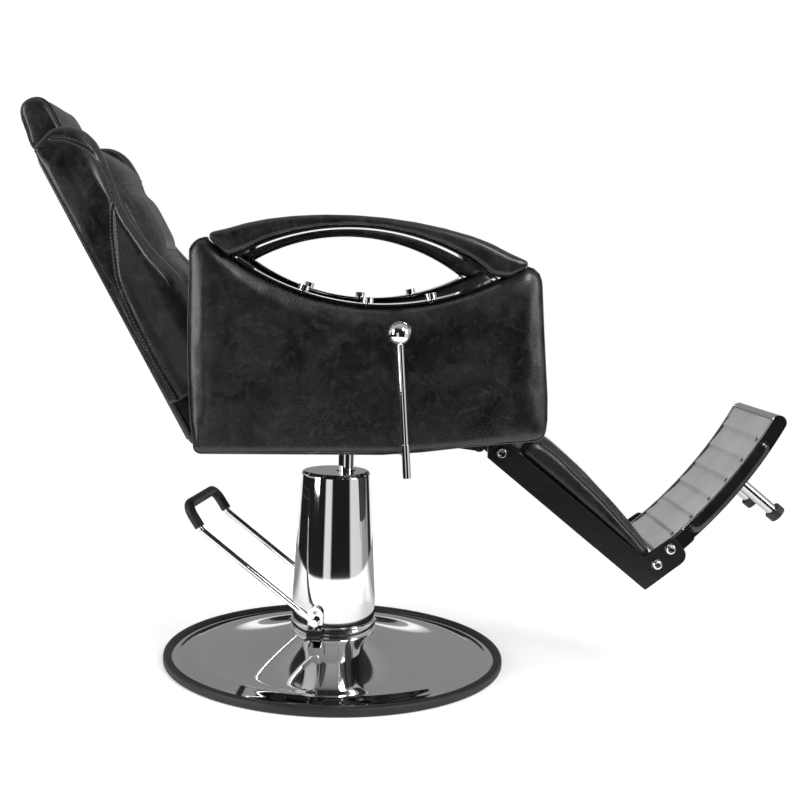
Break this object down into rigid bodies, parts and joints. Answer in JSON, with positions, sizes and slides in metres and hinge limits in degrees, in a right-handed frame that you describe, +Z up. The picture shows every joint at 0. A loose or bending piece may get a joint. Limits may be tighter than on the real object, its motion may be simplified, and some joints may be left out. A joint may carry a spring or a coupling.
{
  "type": "hydraulic barber chair",
  "caption": "Black leather barber chair with reclining back, slatted footrest, looped chrome-banded arms and a foot-pumped chrome column on a round base.",
  "frame": {"origin": "Centre of the round base's underside, on the floor.", "axes": "+X is the way the sitter faces, +Y is the sitter's left, +Z is up."},
  "size_m": [1.2958, 0.6086, 0.9549],
  "materials": {
    "chrome": "polished",
    "black_rubber": "matte",
    "black_leather": "glossy, crackled",
    "black_steel": "satin powder coat",
    "bare_steel": "turned",
    "tread_metal": "satin",
    "plywood": "raw"
  },
  "bodies": {
    "base": {"base_disc": "chrome", "base_edging": "black_rubber", "base_stiffener": "black_steel", "base_bolts": "bare_steel", "pump_flange": "chrome", "pump_cylinder": "bare_steel", "pump_head": "bare_steel", "column_cover": "chrome", "lever_brackets": "black_steel", "lever_pins": "chrome"},
    "pump_lever": {"lever_rod": "chrome", "lever_grip": "black_rubber"},
    "piston": {"piston_rod": "chrome"},
    "seat": {"swivel_hub": "bare_steel", "mount_plate": "black_steel", "mount_bolts": "bare_steel", "seat_frame": "black_steel", "seat_board": "plywood", "seat_cushion": "black_leather", "side_brackets": "black_steel", "side_panel_right": "black_leather", "side_panel_left": "black_leather", "arm_band_right": "chrome", "arm_band_left": "chrome", "arm_pad_right": "black_leather", "arm_pad_left": "black_leather", "arm_bolts": "chrome", "back_hinge_pins": "bare_steel", "release_bearings": "black_steel"},
    "recline_handle": {"release_shaft": "chrome", "handle_rod": "chrome", "handle_sleeve": "chrome", "ball_knob": "chrome"},
    "backrest": {"back_shell": "black_leather", "back_board": "plywood", "back_hinge_plates": "black_steel", "back_cushion": "black_leather", "back_wing_right": "black_leather", "back_wing_left": "black_leather", "headrest_sockets": "black_steel", "gas_spring_anchor": "black_steel"},
    "headrest": {"headrest_pad": "black_leather", "headrest_posts": "chrome"},
    "spring_rod": {"gas_spring_rod": "chrome"},
    "spring_barrel": {"gas_spring_barrel": "black_steel"},
    "link": {"link_bar": "black_steel"},
    "leg_rest": {"leg_arm_right": "black_steel", "leg_arm_left": "black_steel", "leg_shaft": "bare_steel", "calf_board": "plywood", "calf_pad": "black_leather", "foot_brackets": "chrome", "foot_bolts": "chrome", "foot_tray": "chrome", "foot_tread": "tread_metal", "foot_posts": "chrome", "foot_caps": "black_rubber"}
  },
  "joints": [
    {"name": "lift", "type": "slide", "parent": "base", "child": "piston", "axis": [0, 0, 1], "range_m": [0, 0.15]},
    {"name": "swivel", "type": "hinge", "parent": "piston", "child": "seat", "pos_m": [0.0175, 0, 0.372], "axis": [0, 0, 1], "continuous": true},
    {"name": "pump", "type": "hinge", "parent": "base", "child": "pump_lever", "pos_m": [-0.01669, 0.00324, 0.086], "axis": [0.1908, 0.9816, 0], "range_deg": [-25, 0], "stiffness_Nm_per_rad": 10, "springref_deg": 25.78},
    {"name": "recline", "type": "hinge", "parent": "seat", "child": "backrest", "pos_m": [-0.2, 0, 0.452], "axis": [0, -1, 0], "range_deg": [-14, 14]},
    {"name": "leg_lift", "type": "hinge", "parent": "seat", "child": "leg_rest", "pos_m": [0.275, 0, 0.39], "axis": [0, -1, 0], "range_deg": [-14, 14]},
    {"name": "link_swing", "type": "hinge", "parent": "backrest", "child": "link", "pos_m": [-0.2, 0.183, 0.418], "axis": [0, -1, 0], "range_deg": [-14, 14]},
    {"name": "spring_swing", "type": "hinge", "parent": "backrest", "child": "spring_rod", "pos_m": [-0.2, 0.043, 0.418], "axis": [0, -1, 0], "range_deg": [-14, 14]},
    {"name": "spring_stroke", "type": "slide", "parent": "spring_rod", "child": "spring_barrel", "axis": [0.9991, 0, -0.0428], "range_m": [-0.009, 0.009]},
    {"name": "headrest_slide", "type": "slide", "parent": "backrest", "child": "headrest", "axis": [-0.4756, 0, 0.8796], "range_m": [0, 0.11]},
    {"name": "release", "type": "hinge", "parent": "seat", "child": "recline_handle", "pos_m": [0.104, -0.29, 0.402], "axis": [0, 1, 0], "range_deg": [-18, 18], "stiffness_Nm_per_rad": 6}
  ],
  "couplings": [
    {"joint": "leg_lift", "follows": "recline", "ratio": 1},
    {"joint": "link_swing", "follows": "recline", "ratio": -1},
    {"joint": "spring_swing", "follows": "recline", "ratio": -1},
    {"joint": "spring_stroke", "follows": "recline", "m_per_rad": -0.034}
  ]
}
